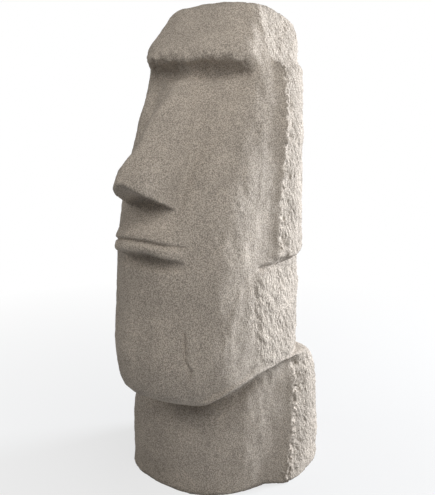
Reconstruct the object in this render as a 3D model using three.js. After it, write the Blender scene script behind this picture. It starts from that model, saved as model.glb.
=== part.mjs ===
import * as THREE from 'three';
import { mergeVertices } from 'three/addons/utils/BufferGeometryUtils.js';

// A garden statue of a moai, cast in one piece: a long head with its jaw, over a low bust.
// Millimetres, +Z up. The face looks along -Y, +X is the statue's own left, and the origin is
// on the ground under the middle of the bust.
//
// The statue is one closed grid. Columns run down it from the crown to the ground, and rows run
// round it, so both can follow the carving: the foot of the nose, the mouth, the ears, the jaw.

// Driving dimensions.
const HEIGHT = 711;
const CROWN_DEPTH = 30; // height of the rounding round the top of the head
const CROWN_SETBACK = 24; // the middle of the crown lies behind the origin
const NOSE_HALF = 44;
const MOUTH_HALF = 66;
const MOUTH_DROOP = 8; // how far the corners of the mouth hang
const BROW_HALF = 98;
const BROW_SWELL = 16;
const SOCKET_DEPTH = 20;
const BRIDGE_SHARE = 0.45; // of that depth, over the bridge of the nose
const EAR_LEDGE = 8; // the step from the ears down to the jaw
const JAW_SHADOW = 3; // height of the cut under the jaw

// Heights of the lines that divide the statue.
const FOREHEAD = 668;
const BROW_EDGE = 637;
const EAR_TOP = 628;
const SOCKET_TOP = 609;
const NOSE_TIP = 485;
const NOSE_EDGE = 472;
const NOSE_FOOT = 446; // in the middle of the face
const NOSTRIL = 440; // the lower end of the nose's edge, at its sides
const NOSTRIL_FOOT = 433;
const LIP_TOP = 420;
const MOUTH = 397;
const LIP_BOTTOM = 375;
const EAR_BOTTOM = 356;
const JAW_EDGE_AT_EAR = 196;
const JAW_EDGE = 157;

const { clamp, lerp, smoothstep } = THREE.MathUtils;

// A smooth curve through stations of [height, value], level beyond its ends.
function profile(...stations) {
  const heights = stations.map(([height]) => height);
  const values = stations.map(([, value]) => value);
  const curve = new THREE.CubicInterpolant(heights, values, 1, new Float32Array(1));
  return (z) => curve.evaluate(clamp(z, heights[0], heights.at(-1)))[0];
}

// How fully the ears stand out at a height.
function earStands(z) {
  return smoothstep(z, EAR_BOTTOM - 4, EAR_BOTTOM + 3) * (1 - smoothstep(z, EAR_TOP - 8, EAR_TOP + 8));
}

// A plan gives, at each height: half, the half-width of the front; front and back, how far those
// reach; waist, where they meet, which is the line of the ear or wing; rim, how far across that
// line stands; root, where the front arc gives way to the ear or wing, as a share of half;
// backHalf, the half-width behind; and guide, the column that keeps to the foot of the nose.
// A power over 2 squares an arc's corners.
const headHalf = profile([157, 108], [200, 115], [300, 116], [430, 113], [540, 115], [600, 109], [640, 98],
  [680, 85], [HEIGHT, 75]);

const head = {
  half: headHalf,
  front: profile([157, -130], [170, -162], [198, -179], [300, -174], [380, -168], [430, -157], [508, -123],
    [560, -103], [590, -86], [640, -64], [680, -48], [HEIGHT, -34]),
  back: profile([157, 110], [300, 109], [500, 107], [650, 105], [680, 99], [HEIGHT, 54]),
  backHalf: profile([157, 110], [300, 116], [380, 117], [480, 111], [600, 107], [650, 108], [680, 104],
    [HEIGHT, 66]),
  waist: profile([157, 6], [356, -14], [430, -10], [590, -2], [HEIGHT, 16]),
  rim: (z) => headHalf(z) + 3 * earStands(z),
  guide: profile([157, 44], [380, 54], [NOSTRIL_FOOT, NOSE_HALF], [512, 41], [604, 22], [618, 20],
    [HEIGHT, 40]),
  frontPower: profile([157, 2.3], [480, 2.3], [600, 2.25], [640, 3], [HEIGHT, 3.4]),
  backPower: 2.8,
  root: () => 0.97,
  ledge: EAR_LEDGE,
  groove: 2, // the hollow in front of the ear
  lean: 0,
};

const bust = {
  half: profile([0, 117], [60, 122], [196, 118]),
  front: profile([0, -108], [50, -113], [110, -111], [150, -98]),
  back: profile([0, 142], [120, 137], [168, 128], [196, 106]),
  backHalf: profile([0, 132], [60, 131], [120, 128], [175, 122], [196, 108]),
  waist: profile([0, 8], [57, 33], [122, 42], [196, 52]),
  rim: profile([0, 132], [60, 128], [120, 125], [196, 116]),
  guide: () => NOSE_HALF,
  frontPower: (z, side) => (side > 0 ? 1.85 : 3), // squarer on the statue's own right
  backPower: 4.5,
  root: profile([0, 0.97], [50, 0.9], [196, 0.9]),
  ledge: 0,
  groove: 1,
  lean: 13, // and fuller there
};

// Columns from the middle of the face round one side to the middle of the back.
const ZONES = [
  { zone: 'nose', columns: 9 },
  { zone: 'cheek', columns: 13 },
  { zone: 'ear', columns: 3 },
  { zone: 'back', columns: 10 },
];
const CHEEK_TURN = 1.46; // spaces the cheek's columns closer towards the ear

// How far across the plan a column stands, from 0 in the middle to 1 on the ear line.
function acrossOf({ zone, share }, guide, root) {
  if (zone === 'nose') return guide * share;
  if (zone === 'cheek') return lerp(guide, root, Math.sin(share * CHEEK_TURN) / Math.sin(CHEEK_TURN));
  if (zone === 'ear') return lerp(root, 1, share);
  return Math.cos(share * (Math.PI / 2));
}

// A point on a plan's front or back arc, which starts on the waist and reaches out to its end.
function arcPoint(across, { half, waist, end, power }) {
  const reach = Math.max(0, 1 - across ** power) ** (1 / power);
  return { x: across * half, y: lerp(waist, end, reach) };
}

// A column's place in a plan, with the ear or wing standing out by a share of its full size.
function planPoint(column, plan, z, standsOut) {
  const { zone, share, side } = column;
  const half = plan.half(z) - plan.lean * side;
  const waist = plan.waist(z);
  const rim = plan.rim(z) + plan.ledge * standsOut;
  const across = acrossOf(column, plan.guide(z) / half, plan.root(z));
  if (zone === 'back') {
    const backHalf = lerp(rim, plan.backHalf(z) + plan.ledge * standsOut, smoothstep(share, 0, 0.45));
    return arcPoint(across, { half: backHalf, waist, end: plan.back(z), power: plan.backPower });
  }
  const front = { half, waist, end: plan.front(z), power: plan.frontPower(z, side) };
  const point = arcPoint(across, front);
  if (zone === 'ear') {
    const root = arcPoint(plan.root(z), front);
    const slab = { x: lerp(root.x - plan.groove, rim, share), y: lerp(root.y + plan.groove, waist, share) };
    point.x = lerp(lerp(point.x, rim, share), slab.x, standsOut);
    point.y = lerp(point.y, slab.y, standsOut);
  }
  return point;
}

// The nose: how far its ridge stands over the cheeks, and how blunt the ridge is.
const noseHeight = profile([NOSTRIL_FOOT, 56], [NOSE_EDGE, 66], [NOSE_TIP, 65], [516, 49], [556, 33],
  [604, 7], [620, 0]);
const noseBlunt = profile([NOSTRIL_FOOT, 3.4], [NOSE_TIP, 3], [530, 2], [604, 1.7]);

function nose(share, z, edge, foot) {
  const wedge = (1 - share ** noseBlunt(z)) ** 1.1;
  const under = smoothstep(z, foot - 3, edge + 1);
  return noseHeight(z) * wedge * under;
}

// The brow: one straight ridge over both eyes that ends short of the ears.
function brow(x, z) {
  const run = 1 - smoothstep(x, BROW_HALF - 22, BROW_HALF + 4);
  const swell = smoothstep(z, SOCKET_TOP, BROW_EDGE + 4) * (1 - smoothstep(z, BROW_EDGE + 6, FOREHEAD + 20));
  return BROW_SWELL * run * swell;
}

// The eye sockets: deep under the brow, and running out down the sides of the nose. The brow
// overhangs the bridge between them as well, but by less.
function socket(x, z, noseSide) {
  const outer = lerp(70, 98, smoothstep(z, NOSTRIL, 600));
  const bridge = BRIDGE_SHARE * smoothstep(z, 588, 606);
  const run = lerp(bridge, 1, smoothstep(x, noseSide - 12, noseSide + 12)) * (1 - smoothstep(x, outer - 34, outer));
  const fall = smoothstep(z, 430, 604) * (1 - smoothstep(z, SOCKET_TOP - 2, BROW_EDGE - 2));
  return SOCKET_DEPTH * run * fall;
}

// The lips: two pursed rolls with the mouth as a line between them, drooping to the corners.
const lipSwell = profile([354, 0], [368, -6], [LIP_BOTTOM, -4], [379, 9], [384, 17], [391, 19],
  [MOUTH, 16], [401, 18], [407, 16], [LIP_TOP, 6], [434, 0]);

function droop(x) {
  return MOUTH_DROOP * Math.min(1, x / MOUTH_HALF) ** 2;
}

function lips(x, z) {
  const run = 1 - smoothstep(x, MOUTH_HALF * 0.6, MOUTH_HALF);
  return run * lipSwell(z + droop(x));
}

function headPoint(column, z) {
  const point = planPoint(column, head, z, earStands(z));
  if (column.zone !== 'back') {
    const { x } = point;
    const share = column.zone === 'nose' ? column.share : 1;
    const ridge = nose(share, z, noseEdge(column), noseFoot(column));
    point.y -= ridge + brow(x, z) + lips(x, z) - socket(x, z, head.guide(z));
  }
  return new THREE.Vector3(column.side * point.x, point.y, z);
}

function bustPoint(column, z) {
  const { x, y } = planPoint(column, bust, z, 1);
  return new THREE.Vector3(column.side * x, y, z);
}

// Lines that run across the columns, as a height at each column.
function noseEdge({ zone, share }) {
  return zone === 'nose' ? lerp(NOSE_EDGE, NOSTRIL, share ** 2) : NOSTRIL;
}

function noseFoot({ zone, share }) {
  return zone === 'nose' ? lerp(NOSE_FOOT, NOSTRIL_FOOT, share ** 2) : NOSTRIL_FOOT;
}

function jawEdge({ zone, share }) {
  if (zone === 'nose') return JAW_EDGE;
  return zone === 'cheek' ? lerp(JAW_EDGE, JAW_EDGE_AT_EAR, smoothstep(share, 0, 1.1)) : JAW_EDGE_AT_EAR;
}

function drooped(height) {
  return ({ zone, share }) => {
    if (zone === 'nose') return height - droop(MOUTH_HALF * 0.75 * share);
    return zone === 'cheek' ? height - MOUTH_DROOP * (1 - smoothstep(share, 0.1, 0.7)) : height;
  };
}

function level(height) {
  return () => height;
}

// Bands of rows down the head under the crown: each has its lower line and its number of rows.
const BANDS = [
  { bottom: level(FOREHEAD - 14), rows: 1 },
  { bottom: level(BROW_EDGE), rows: 2 },
  { bottom: level(SOCKET_TOP), rows: 4 },
  { bottom: level(NOSE_TIP + 6), rows: 8 },
  { bottom: noseEdge, rows: 3 },
  { bottom: noseFoot, rows: 3 },
  { bottom: drooped(LIP_TOP), rows: 1 },
  { bottom: drooped(MOUTH), rows: 5 },
  { bottom: drooped(LIP_BOTTOM), rows: 5 },
  { bottom: level(EAR_BOTTOM + 6), rows: 1 },
  { bottom: level(EAR_BOTTOM - 6), rows: 2 },
  { bottom: (column) => jawEdge(column) + 44, rows: 5 },
  { bottom: jawEdge, rows: 5 },
];
const CROWN_ROWS = 6;
const BUST_ROWS = 8;

// The crown closes in on its middle as it rounds over from the sides to the nearly flat top.
function crownRows(column) {
  return Array.from({ length: CROWN_ROWS }, (_, index) => {
    const fall = ((index + 1) / CROWN_ROWS) * (Math.PI / 2);
    const z = HEIGHT - CROWN_DEPTH * (1 - Math.cos(fall) ** 0.6);
    const middle = new THREE.Vector3(0, CROWN_SETBACK, z);
    return middle.lerp(headPoint(column, z), Math.sin(fall) ** 0.4);
  });
}

function faceRows(column) {
  const points = [];
  let line = HEIGHT - CROWN_DEPTH;
  for (const { bottom, rows } of BANDS) {
    const next = bottom(column);
    for (let row = 1; row <= rows; row += 1) points.push(headPoint(column, lerp(line, next, row / rows)));
    line = next;
  }
  return points;
}

function bustRows(column) {
  const top = jawEdge(column) - JAW_SHADOW;
  return Array.from({ length: BUST_ROWS + 1 }, (_, row) => bustPoint(column, lerp(top, 0, row / BUST_ROWS)));
}

// All columns, once round the statue, starting and ending in the middle of the back.
function allColumns() {
  const oneSide = ZONES.flatMap(({ zone, columns }) =>
    Array.from({ length: columns }, (_, index) => ({ zone, share: (index + 1) / columns })));
  const left = oneSide.map((column) => ({ ...column, side: 1 }));
  const right = oneSide.map((column) => ({ ...column, side: -1 })).reverse();
  return [...right, { zone: 'nose', share: 0, side: 1 }, ...left];
}

// A sphere's grid of vertices, moved to the statue's surface.
function statueGeometry() {
  const top = new THREE.Vector3(0, CROWN_SETBACK, HEIGHT);
  const bottom = new THREE.Vector3(5, 12, 0);
  const grid = allColumns().map((column) =>
    [top, ...crownRows(column), ...faceRows(column), ...bustRows(column), bottom]);
  const columns = grid.length - 1;
  const rows = grid[0].length - 1;
  const geometry = new THREE.SphereGeometry(1, columns, rows);
  const position = geometry.getAttribute('position');
  grid.forEach((points, column) => {
    points.forEach(({ x, y, z }, row) => position.setXYZ(row * (columns + 1) + column, x, y, z));
  });
  geometry.deleteAttribute('normal');
  geometry.deleteAttribute('uv');
  return mergeVertices(geometry, 1e-3);
}

const stoneLookResin = new THREE.MeshStandardMaterial({
  name: 'stone_look_resin',
  color: 0x9c9486,
  roughness: 0.92,
  metalness: 0,
});

const statue = new THREE.Mesh(statueGeometry(), stoneLookResin);
statue.name = 'statue';

const moai = new THREE.Group();
moai.add(statue);

export default moai;
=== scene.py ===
"""Looks of the moai garden statue.

It is one casting in stone-look resin, dressed smooth in front and rough-hewn at the sides and back.
"""
import math

import bmesh
import bpy
import numpy as np
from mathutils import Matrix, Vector, noise


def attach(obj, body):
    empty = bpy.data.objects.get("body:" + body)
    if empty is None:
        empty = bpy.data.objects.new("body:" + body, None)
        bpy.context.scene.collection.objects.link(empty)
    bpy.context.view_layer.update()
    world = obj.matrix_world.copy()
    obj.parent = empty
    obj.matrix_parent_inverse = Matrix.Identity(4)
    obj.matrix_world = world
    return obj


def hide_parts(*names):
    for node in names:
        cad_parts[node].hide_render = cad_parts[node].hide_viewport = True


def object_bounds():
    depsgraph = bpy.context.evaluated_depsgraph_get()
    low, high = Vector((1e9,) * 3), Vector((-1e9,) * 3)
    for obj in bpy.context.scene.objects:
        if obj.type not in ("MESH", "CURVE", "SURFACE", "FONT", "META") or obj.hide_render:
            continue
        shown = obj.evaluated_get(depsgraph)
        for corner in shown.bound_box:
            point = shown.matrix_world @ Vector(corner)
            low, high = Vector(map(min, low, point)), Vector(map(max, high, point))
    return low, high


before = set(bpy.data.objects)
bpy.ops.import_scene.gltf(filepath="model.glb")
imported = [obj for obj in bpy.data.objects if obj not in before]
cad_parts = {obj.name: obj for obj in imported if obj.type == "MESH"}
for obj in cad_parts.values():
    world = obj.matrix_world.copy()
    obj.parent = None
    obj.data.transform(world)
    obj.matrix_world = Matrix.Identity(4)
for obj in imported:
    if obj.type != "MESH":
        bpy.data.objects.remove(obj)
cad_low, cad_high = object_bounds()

MM = 0.001

RELIEF_PITCH = 1.6 * MM
TRIANGLES = 192_000

# How the solid's faces are joined up again.
WELD = 0.01 * MM
PAIRED_WITHIN = math.radians(40)  # triangles that turn less than this make one four-sided face
BASE_RIM = 0.5 * MM  # an edge that lies lower than this is on the flat base
BASE_CREASE = 0.9

# Heights and breadths of the carving, in millimetres, as the solid has them.
EAR_TOP = 628
EAR_BOTTOM = 356
JAW_EDGE_AT_EAR = 196
BROW_EDGE = 637
SOCKET_TOP = 609
BROW_HALF = 98
MOUTH = 397
MOUTH_HALF = 66
MOUTH_DROOP = 8
NECK_HALF = 118
NECK_LEAN = 13  # how much fuller the neck and bust are on the statue's own right

# The relief, in millimetres.
SHARP_BORDER = 2.5  # half the width over which smooth turns to hewn, at a sharp corner
CHIP_DEPTH = 3.7
EAR_GAP = 7  # how far the gap under the ears lies below their foot
EAR_GAP_DEPTH = 3.2
BROW_UNDERCUT = 6
MOUTH_DEPTH = 3.0
LIP_HOLLOW = 24  # how far the hollow under the lower lip lies below the mouth
LIP_HOLLOW_DEPTH = 2.4
SCAR_TOP = 278
SCAR_LEFT = 61  # how far to the statue's own left the scar starts
SCAR_SLANT = 0.13
SCAR_DEPTH = 3.4
SCAR_EDGE_HEIGHT = 1.4
TRACE = 0.02  # a share of a finish that is too little to be carved

# Patterns: how lumps are stretched along the strokes, and the noise that makes them.
UPRIGHT = (1, 1, 2.4)
ALONG_EAR = (1, 1.6, 1)
FINER = 2.1  # each octave of noise is this much finer than the last
FADING = 0.9  # and weaker by this power of it
SEED_STEP = (17.31, -9.73, 5.19)

# The resin's colours, with a painted shade for its pits, and the size of its grains and how far they stand
# out.
SAND_DARK = (0.227, 0.195, 0.160, 1)
SAND_PALE = (0.596, 0.516, 0.428, 1)
DUST_COLOUR = (0.464, 0.404, 0.342, 1)
# Painted shade: this dark colour darkens the pits as the shade in them would.
PIT_SHADE = (0.155, 0.138, 0.118, 1)
SAND_SIZE = 1.5 * MM
DUST_SIZE = 0.9 * MM
CRUMB_SIZE = 3.6 * MM
PIT_SIZE = 2.8 * MM
MOTTLE_SIZE = 30 * MM
PATCH_SIZE = 120 * MM
SAND_HEIGHT = 0.55
DUST_HEIGHT = 0.2
PIT_DEPTH = 0.35
CRUMB_HEIGHT = (0.4, 4.5)  # on the dressed front, and where the statue is hewn
DUST_COVER = 0.45
# How strongly the painted shade of the pits is mixed in.
PIT_SHADE_SHARE = 0.55

# The studio, in metres and degrees. Azimuths turn from the front towards the statue's own left.
LIGHTS_AIM = Vector((0, 0, 0.36))
COOL_WHITE = (0.87, 0.92, 1.0)
WHITE = (1, 1, 1)
AMBIENT = 0.03
FLOOR_RADIUS = 30
FLOOR_GREY = (0.5, 0.5, 0.5, 1)
FLOOR_REACH = (0.15, 1.2)  # the floor shows a soft shadow up to the first distance, and none past the second
FLOOR_GLOW = (0.72, 1.0)  # how much of the backdrop's white it shows there
CAMERA_AZIMUTH = 36
CAMERA_PITCH = 12
CAMERA_AIM = Vector((0, 0, 0.355))
CAMERA_DISTANCE = 1.0
SENSOR_WIDTH = 36
LENS = 47.3
LENS_SHIFT = 0.003


# ---------------------------------------------------------------- mesh tools

def closed_copy(name):
    """A welded copy of a CAD node, with its triangles paired up and the rim of its flat base creased."""
    bm = bmesh.new()
    bm.from_mesh(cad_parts[name].data)
    bmesh.ops.remove_doubles(bm, verts=bm.verts, dist=WELD)
    bmesh.ops.join_triangles(bm, faces=bm.faces, angle_face_threshold=PAIRED_WITHIN,
                             angle_shape_threshold=PAIRED_WITHIN)
    crease = bm.edges.layers.float.new("crease_edge")
    for edge in bm.edges:
        if max(vert.co.z for vert in edge.verts) < BASE_RIM:
            edge[crease] = BASE_CREASE
    mesh = bpy.data.meshes.new("casting")
    bm.to_mesh(mesh)
    bm.free()
    return mesh


def with_modifiers(mesh, *modifiers):
    """The mesh with these modifiers applied, each a type and its settings."""
    carrier = bpy.data.objects.new("carrier", mesh)
    bpy.context.scene.collection.objects.link(carrier)
    for kind, settings in modifiers:
        modifier = carrier.modifiers.new(kind.title(), kind)
        for name, value in settings.items():
            setattr(modifier, name, value)
    result = bpy.data.meshes.new_from_object(carrier.evaluated_get(bpy.context.evaluated_depsgraph_get()))
    bpy.data.objects.remove(carrier)
    return result


def places(mesh):
    """Where the mesh's points stand, in metres, one row for each."""
    values = np.zeros(len(mesh.vertices) * 3, np.float32)
    mesh.vertices.foreach_get("co", values)
    return values.reshape(-1, 3).astype(float)


def directions(mesh):
    """Which way the surface faces at each of the mesh's points."""
    values = np.zeros(len(mesh.vertices) * 3, np.float32)
    mesh.vertex_normals.foreach_get("vector", values)
    return values.reshape(-1, 3).astype(float)


def move_to(mesh, wanted):
    """Moves the mesh's points to the wanted places, in metres."""
    mesh.vertices.foreach_set("co", wanted.astype(np.float32).ravel())
    mesh.update()


def rounded(cage):
    """The mesh subdivided twice into a smooth surface that still passes through all its own points."""
    twice = ("SUBSURF", {"levels": 2, "render_levels": 2})
    wanted = places(cage)
    for _ in range(3):
        drawn_in = wanted - places(with_modifiers(cage, twice))[:len(wanted)]
        move_to(cage, places(cage) + drawn_in)
    return with_modifiers(cage, twice)


# ---------------------------------------------------------------- patterns and lines of the carving
#
# Points are rows of x, y and z in millimetres.

def ramp(value, low, high):
    """0 up to low, 1 from high on, and smooth between; it falls where low is the higher."""
    share = np.clip((value - low) / (high - low), 0, 1)
    return share * share * (3 - 2 * share)


def groove(away, width):
    """The round-bottomed section of a cut: 1 in its middle, dying away over its width."""
    return np.exp(-(away / width) ** 2)


def line(along, *stations):
    """A line through stations, each a place along and its value, level beyond its ends."""
    steps, values = zip(*stations)
    return np.interp(along, steps, values)


def lumps(points, size, seed, octaves=1, stretch=(1, 1, 1)):
    """Smooth noise with lumps of the given size."""
    shift = Vector([seed * step for step in SEED_STEP])
    scaled = points / (size * np.array(stretch))
    if octaves == 1:
        return np.array([noise.noise(Vector(point) + shift) for point in scaled])
    return np.array([noise.fractal(Vector(point) + shift, FADING, FINER, octaves) for point in scaled])


def ear_line(z):
    """How far back the corner of the ears stands."""
    return line(z, (157, 6), (356, -14), (430, -10), (590, -2), (711, 16))


def wing_line(z):
    """How far back the corner of the bust's wings stands."""
    return line(z, (0, 8), (57, 33), (122, 42), (196, 52))


def mouth_height(x):
    """The line between the lips, which droops to the corners and runs on past them as a crease."""
    across = np.abs(x)
    drooped = MOUTH - MOUTH_DROOP * np.minimum(across / MOUTH_HALF, 1) ** 2
    return drooped - 12 * ramp(across, MOUTH_HALF - 4, MOUTH_HALF + 22)


def joint(points):
    """The height of the cut between head and bust.

    It rises along the jaw from the chin to the ears and is level behind them. The jaw overhangs the neck,
    so on the neck the same cut lies further in.
    """
    x, y = points.T[:2]
    across = np.abs(x)
    side = np.sign(x)
    jaw = line(across, (44, 157), (61, 160), (78, 169), (93, 179), (104, 189), (110, 195))
    neck = line(across / (NECK_HALF - NECK_LEAN * side), (0.4, 157), (0.53, 160), (0.67, 169), (0.78, 179),
                (0.86, 189), (0.9, 195))
    neck_front = line(across + 5 * side, (5, -127), (65, -104), (80, -96), (93, -77), (102, -55),
                      (107, -37)) + 9 * side
    return np.where(y > 20, JAW_EDGE_AT_EAR, np.where(y > neck_front, neck, jaw))


def on_bust(points):
    """1 on the bust and 0 on the head."""
    cut = joint(points)
    return ramp(points[:, 2], cut + 1, cut - 3)


def hewn_share(points):
    """0 on the dressed front, 1 on the rough-hewn sides and back, with a border that wanders."""
    y, z = points.T[1:]
    bust = on_bust(points)
    border = line(z, (204, -40), (239, -52), (284, -80), (311, -74), (345, -58), (353, -16), (356, -14),
                  (430, -10), (590, -2), (618, -4), (640, -20), (690, -16), (711, -6))
    border = border * (1 - bust) + wing_line(z) * bust
    softness = line(z, (204, 12), (340, 12), (356, SHARP_BORDER), (612, SHARP_BORDER), (640, 6))
    softness = softness * (1 - bust) + SHARP_BORDER * bust
    wander = (8 * lumps(points, size=24, seed=3, octaves=3) * ramp(softness, 2, 14)
              + 3.2 * lumps(points, size=8.5, seed=14, octaves=2))
    return ramp(y + wander, border - softness, border + softness)


# ---------------------------------------------------------------- the relief
#
# Each function gives a height or a depth at every point, in millimetres.

def tool_marks(points, hewn):
    """The height of what the tools left on the dressed front and on the hewn sides and back."""
    # Broad soft hollows in front, with faint upright strokes.
    plain = np.where(hewn < 1 - TRACE)[0]
    dressed = points[plain]
    front = np.zeros(len(points))
    front[plain] = (1.5 * lumps(dressed, size=52, seed=1)
                    + 1.2 * lumps(dressed, size=19, seed=2, octaves=2, stretch=UPRIGHT)
                    + 0.5 * lumps(dressed, size=8, seed=15, octaves=2) - 0.4)
    # Broken lumps behind, and crumbs drawn out along the strokes of the pick.
    rough = np.where(hewn > TRACE)[0]
    cut = points[rough]
    along = np.stack([cut[:, 0], cut[:, 1] + 0.45 * cut[:, 2], cut[:, 2] / 2], 1)
    back = np.zeros(len(points))
    back[rough] = (2.0 * lumps(cut, size=34, seed=5, octaves=2)
                   + 1.1 * (0.35 - np.abs(lumps(along, size=12, seed=6, octaves=2)))
                   + 1.15 * lumps(along, size=4.4, seed=7, octaves=2) - 0.5)
    return front * (1 - hewn) + back * hewn


def chips(points):
    """How deep the corners of the ears and wings are chipped: raggedly in front, and easing off behind."""
    z = points[:, 2]
    bust = on_bust(points) > 0.5
    ear = ramp(z, EAR_BOTTOM - 8, EAR_BOTTOM + 2) * (1 - ramp(z, EAR_TOP - 6, EAR_TOP + 10))
    away = points[:, 1] - np.where(bust, wing_line(z), ear_line(z))
    near = np.where((np.abs(away - 12) < 26) & (bust | (ear > 0)))[0]
    at, away = points[near], away[near]
    reach = (1 + 7.5 * ramp(lumps(at, size=6, seed=8, octaves=2, stretch=ALONG_EAR), -0.04, 0.12)
             + 4 * ramp(lumps(at, size=16, seed=9), 0, 0.3))
    reach *= np.where(bust[near], 1.6, 1)
    start = np.clip(1 + away / reach, 0, 1)
    strength = np.where(bust, 1.35, ear)[near]
    deep = np.zeros(len(points))
    deep[near] = (CHIP_DEPTH + 1.8 * lumps(at, size=13, seed=19)) * start * (1 - ramp(away, 3, 36)) * strength
    return deep


def gap_under_ears(points):
    """The depth of the shadowed gap under the ears, which is widest at the front."""
    x, y, z = points.T
    foot = EAR_BOTTOM - EAR_GAP + 1.5 * lumps(points * (0, 1, 0), size=15, seed=18, octaves=2)
    front_end = ramp(y, -20, -45)
    at_side = ramp(y, -64, -52) * (1 - ramp(y, 40, 60)) * ramp(np.abs(x), 95, 105)
    return (EAR_GAP_DEPTH + 1.6 * front_end) * groove(z - foot, 1.6 + 2.2 * front_end) * at_side


def brow_rolls(points):
    """The height of the lumpy underside of the brow, which is cut in deeper towards the sockets."""
    x, y, z = points.T
    brow = (ramp(z, SOCKET_TOP - 8, SOCKET_TOP + 4) * (1 - ramp(z, BROW_EDGE - 2, BROW_EDGE + 14))
            * ramp(-y, 20, 35) * (1 - ramp(np.abs(x), BROW_HALF - 18, BROW_HALF)))
    under = np.where(brow > TRACE)[0]
    rolls = np.zeros(len(points))
    rolls[under] = (2.2 * lumps(points[under], size=12, seed=10, octaves=2)
                    + 1.4 * lumps(points[under], size=5.5, seed=16, octaves=2)
                    - BROW_UNDERCUT * ramp(z[under], BROW_EDGE - 6, SOCKET_TOP + 10))
    return rolls * brow


def face_cuts(points):
    """The depths of the cuts in the face, from the mouth down to the chin."""
    x, y, z = points.T
    across = np.abs(x)
    in_front = ramp(-y, 90, 110)
    # The mouth is one fine cut, a little wider and shallower at its corners.
    below_mouth = z - mouth_height(x)
    wavy = 0.8 * lumps(points, size=14, seed=11)
    width = 1.5 + 1.3 * ramp(across, MOUTH_HALF - 6, MOUTH_HALF + 12)
    depth = MOUTH_DEPTH * (1 - ramp(across, MOUTH_HALF - 14, MOUTH_HALF + 8))
    mouth = depth * groove(below_mouth + wavy, width) * in_front
    # The lower lip stands over a hollow.
    lip_run = 1 - ramp(across, 22, 54)
    hollow = LIP_HOLLOW_DEPTH * groove(below_mouth + LIP_HOLLOW + 3 * wavy, 5) * lip_run * in_front
    # A cracked scar with one raised edge runs down the left of the chin.
    jagged = 3.2 * lumps(points * (0, 0, 1), size=17, seed=13, octaves=2)
    path = SCAR_LEFT + SCAR_SLANT * (SCAR_TOP - z) + jagged
    length = ramp(z, 205, 222) * (1 - ramp(z, 268, 284))
    scar = SCAR_DEPTH * groove(x - path, 1.9) * length * in_front
    raised_edge = SCAR_EDGE_HEIGHT * groove(x - path - 4.5, 2.8) * length * in_front
    return mouth, hollow, scar, -raised_edge


def carve(mesh):
    """Where the mesh's points go for the relief, within the solid's box and on a flat base."""
    points = places(mesh) / MM
    # The tools' marks and the chips die away at the cut under the jaw, which stays clean.
    clean = 1 - 0.85 * groove(points[:, 2] - joint(points) + 1.5, 6)
    out = tool_marks(points, hewn_share(points)) * clean
    out -= chips(points) * clean
    out -= gap_under_ears(points)
    out += brow_rolls(points)
    for depth in face_cuts(points):
        out -= depth
    moved = points + directions(mesh) * out[:, None]
    near_ground = 1 - ramp(points[:, 2], 0.8, 5)
    moved[:, 2] += (points[:, 2] - moved[:, 2]) * near_ground
    moved[points[:, 2] < 1.2, 2] = 0
    return np.clip(moved, np.array(cad_low) / MM, np.array(cad_high) / MM)


def statue_mesh():
    """The solid's form made smooth, carved, and thinned to the triangles kept."""
    pitch = RELIEF_PITCH
    evenly = ("REMESH", {"mode": "VOXEL", "voxel_size": pitch})
    smooth = with_modifiers(rounded(closed_copy("statue")), evenly)
    move_to(smooth, carve(smooth) * MM)
    triangles = sum(len(face.vertices) - 2 for face in smooth.polygons)
    mesh = with_modifiers(
        smooth,
        ("TRIANGULATE", {}),
        ("DECIMATE", {"ratio": min(1, TRIANGLES / triangles)}),
    )
    mesh.name = "statue_casting"
    for face in mesh.polygons:
        face.use_smooth = True
    move_to(mesh, np.clip(places(mesh), cad_low, cad_high))
    hewn = mesh.attributes.new("hewn", "FLOAT", "POINT")
    hewn.data.foreach_set("value", hewn_share(places(mesh) / MM).astype(np.float32))
    return mesh


# ---------------------------------------------------------------- the finish

def node(tree, kind, inputs=(), **settings):
    """Adds a node; its inputs are links or plain values, by name or number."""
    made = tree.nodes.new(kind)
    for name, value in settings.items():
        setattr(made, name, value)
    for name, value in dict(inputs).items():
        if isinstance(value, bpy.types.NodeSocket):
            tree.links.new(value, made.inputs[name])
        else:
            made.inputs[name].default_value = value
    return made


def math_node(tree, operation, first, second):
    """One sum on two values."""
    return node(tree, "ShaderNodeMath", {0: first, 1: second}, operation=operation).outputs[0]


def mix_colour(tree, share, first, second):
    """The first colour, with a share of the second over it."""
    return node(tree, "ShaderNodeMix", {0: share, 6: first, 7: second}, data_type="RGBA").outputs[2]


def spread(tree, value, low, high, to_low=0.0, to_high=1.0):
    """The value moved from one range to another, and held within it."""
    return node(tree, "ShaderNodeMapRange", {"Value": value, "From Min": low, "From Max": high,
                                             "To Min": to_low, "To Max": to_high}).outputs[0]


def grain(tree, vector, size, detail, roughness=0.6):
    """Noise with grains of the given size."""
    return node(tree, "ShaderNodeTexNoise", {"Vector": vector, "Scale": 1 / size, "Detail": detail,
                                             "Roughness": roughness}).outputs[0]


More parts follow.
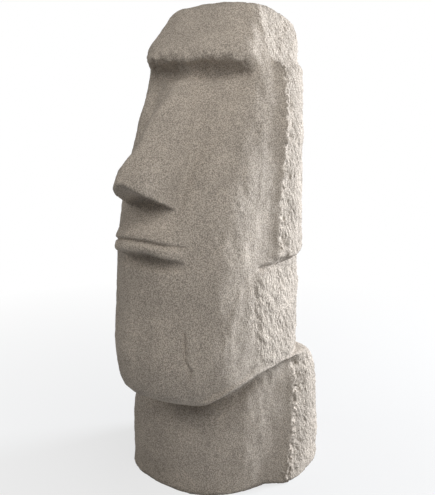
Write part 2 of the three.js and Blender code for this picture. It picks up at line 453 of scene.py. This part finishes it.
def sandy_group():
    """Sand in the resin's surface: its colour, height and roughness, coarser where the statue is hewn."""
    group = bpy.data.node_groups.new("sandy_surface", "ShaderNodeTree")
    group.interface.new_socket("Vector", in_out="INPUT", socket_type="NodeSocketVector")
    group.interface.new_socket("Hewn", in_out="INPUT", socket_type="NodeSocketFloat")
    group.interface.new_socket("Colour", in_out="OUTPUT", socket_type="NodeSocketColor")
    group.interface.new_socket("Height", in_out="OUTPUT", socket_type="NodeSocketFloat")
    group.interface.new_socket("Roughness", in_out="OUTPUT", socket_type="NodeSocketFloat")
    start = group.nodes.new("NodeGroupInput")
    end = group.nodes.new("NodeGroupOutput")
    at, hewn = start.outputs["Vector"], start.outputs["Hewn"]

    # Grains of each size. The crumbs are drawn out upright, as the pick leaves them.
    upright = node(group, "ShaderNodeMapping", {"Vector": at, "Scale": (1, 1, 0.55)}).outputs[0]
    sand = grain(group, at, SAND_SIZE, 1)
    dust = grain(group, at, DUST_SIZE, 1)
    crumbs = grain(group, upright, CRUMB_SIZE, 3, 0.7)
    mottle = grain(group, at, MOTTLE_SIZE, 3)
    patches = grain(group, at, PATCH_SIZE, 2)
    pit_cells = node(group, "ShaderNodeTexVoronoi", {"Vector": at, "Scale": 1 / PIT_SIZE}).outputs["Distance"]
    pits = spread(group, pit_cells, 0.10, 0.30, 1.0, 0.0)

    # Dark and pale sand, greyed by dust and dotted with pits that are darkened by painted shade, in a tone
    # that varies softly.
    colour = mix_colour(group, spread(group, sand, 0.39, 0.61), SAND_DARK, SAND_PALE)
    colour = mix_colour(group, spread(group, dust, 0.35, 0.65, 0.0, DUST_COVER), colour, DUST_COLOUR)
    # Painted shade: the pits are mixed towards a dark colour that stands in for the shade in them.
    colour = mix_colour(group, math_node(group, "MULTIPLY", pits, PIT_SHADE_SHARE), colour, PIT_SHADE)
    tone = math_node(group, "ADD", spread(group, mottle, 0.3, 0.7, 0.90, 1.08),
                     spread(group, patches, 0.3, 0.7, -0.03, 0.03))
    toned = node(group, "ShaderNodeVectorMath", {0: colour, "Scale": tone}, operation="SCALE").outputs[0]

    # Sand and dust stand out, pits lie in, and the crumbs grow where the statue is hewn.
    height = math_node(group, "ADD", math_node(group, "MULTIPLY", sand, SAND_HEIGHT),
                       math_node(group, "MULTIPLY", dust, DUST_HEIGHT))
    height = math_node(group, "SUBTRACT", height, math_node(group, "MULTIPLY", pits, PIT_DEPTH))
    coarse = math_node(group, "MULTIPLY", crumbs, spread(group, hewn, 0, 1, *CRUMB_HEIGHT))

    group.links.new(toned, end.inputs["Colour"])
    group.links.new(math_node(group, "ADD", height, coarse), end.inputs["Height"])
    group.links.new(spread(group, sand, 0.3, 0.7, 0.86, 0.97), end.inputs["Roughness"])
    return group


def resin_material():
    """Matt sand-grained cast resin."""
    material = bpy.data.materials.new("stone_look_resin")
    material.use_nodes = True
    tree = material.node_tree
    shader = tree.nodes["Principled BSDF"]
    shader.inputs["Specular IOR Level"].default_value = 0.25
    place = node(tree, "ShaderNodeTexCoord").outputs["Object"]
    hewn = node(tree, "ShaderNodeAttribute", attribute_name="hewn").outputs["Fac"]
    sandy = tree.nodes.new("ShaderNodeGroup")
    sandy.node_tree = sandy_group()
    tree.links.new(place, sandy.inputs["Vector"])
    tree.links.new(hewn, sandy.inputs["Hewn"])
    bump = node(tree, "ShaderNodeBump", {"Strength": 0.8, "Distance": 1.0 * MM,
                                         "Height": sandy.outputs["Height"]})
    tree.links.new(sandy.outputs["Colour"], shader.inputs["Base Color"])
    tree.links.new(sandy.outputs["Roughness"], shader.inputs["Roughness"])
    tree.links.new(bump.outputs["Normal"], shader.inputs["Normal"])
    return material


# ---------------------------------------------------------------- the statue

statue = bpy.data.objects.new("moai_statue", statue_mesh())
bpy.context.scene.collection.objects.link(statue)
statue.data.materials.clear()
statue.data.materials.append(resin_material())
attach(statue, "root")
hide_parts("statue")


# ---------------------------------------------------------------- floor, light and camera

def toward(azimuth, elevation):
    """The direction that lies at an azimuth round from the front, and an elevation, in degrees."""
    a, e = math.radians(azimuth), math.radians(elevation)
    return Vector((math.sin(a) * math.cos(e), -math.cos(a) * math.cos(e), math.sin(e)))


def area_light(name, azimuth, elevation, distance, size, power, colour=WHITE, lift=0):
    """A round soft light that faces the statue from a direction, and is then lifted."""
    data = bpy.data.lights.new(name, "AREA")
    data.shape = "DISK"
    data.size = size
    data.energy = power
    data.color = colour
    light = bpy.data.objects.new(name, data)
    bpy.context.scene.collection.objects.link(light)
    direction = toward(azimuth, elevation)
    light.location = LIGHTS_AIM + direction * distance
    light.location.z += lift
    light.rotation_euler = (-direction).to_track_quat("-Z", "Y").to_euler()
    light.visible_camera = False


def pale_floor():
    """A pale floor that takes a soft shadow near the statue and runs into the backdrop further off."""
    bm = bmesh.new()
    bmesh.ops.create_circle(bm, cap_ends=True, radius=FLOOR_RADIUS, segments=64)
    mesh = bpy.data.meshes.new("floor")
    bm.to_mesh(mesh)
    bm.free()
    floor = bpy.data.objects.new("floor", mesh)
    bpy.context.scene.collection.objects.link(floor)
    material = bpy.data.materials.new("pale_floor")
    material.use_nodes = True
    tree = material.node_tree
    shader = tree.nodes["Principled BSDF"]
    shader.inputs["Base Color"].default_value = FLOOR_GREY
    shader.inputs["Roughness"].default_value = 0.9
    shader.inputs["Specular IOR Level"].default_value = 0
    glow = node(tree, "ShaderNodeEmission", {"Color": (*WHITE, 1), "Strength": 1.0}).outputs[0]
    place = node(tree, "ShaderNodeTexCoord").outputs["Object"]
    away = node(tree, "ShaderNodeVectorMath", {0: place}, operation="LENGTH").outputs["Value"]
    seen = node(tree, "ShaderNodeLightPath").outputs["Is Camera Ray"]
    share = math_node(tree, "MULTIPLY", seen, spread(tree, away, *FLOOR_REACH, *FLOOR_GLOW))
    mixed = node(tree, "ShaderNodeMixShader", {0: share, 1: shader.outputs[0], 2: glow})
    tree.links.new(mixed.outputs[0], tree.nodes["Material Output"].inputs["Surface"])
    mesh.materials.append(material)


def pale_backdrop():
    """A world that is seen as white, and lights the statue only faintly."""
    world = bpy.data.worlds.new("studio")
    bpy.context.scene.world = world
    world.use_nodes = True
    tree = world.node_tree
    background = tree.nodes["Background"]
    seen = node(tree, "ShaderNodeLightPath").outputs["Is Camera Ray"]
    tree.links.new(spread(tree, seen, 0, 1, AMBIENT, 1.0), background.inputs["Strength"])
    background.inputs["Color"].default_value = (*WHITE, 1)


pale_floor()
area_light("key_from_behind", azimuth=149, elevation=13, distance=2.4, size=0.8, power=145, colour=COOL_WHITE)
area_light("soft_front", azimuth=54, elevation=37, distance=1.05, size=0.9, power=7.7, lift=0.13)
area_light("fill_far_side", azimuth=-48, elevation=28, distance=2.4, size=1.2, power=16)
pale_backdrop()

camera = bpy.data.objects.new("camera", bpy.data.cameras.new("camera"))
bpy.context.scene.collection.objects.link(camera)
camera_side = toward(CAMERA_AZIMUTH, CAMERA_PITCH)
camera.location = CAMERA_AIM + camera_side * CAMERA_DISTANCE
camera.rotation_euler = (-camera_side).to_track_quat("-Z", "Y").to_euler()
camera.data.sensor_width = SENSOR_WIDTH
camera.data.lens = LENS
camera.data.shift_y = LENS_SHIFT
bpy.context.scene.camera = camera
bpy.context.scene.view_settings.view_transform = "Standard"
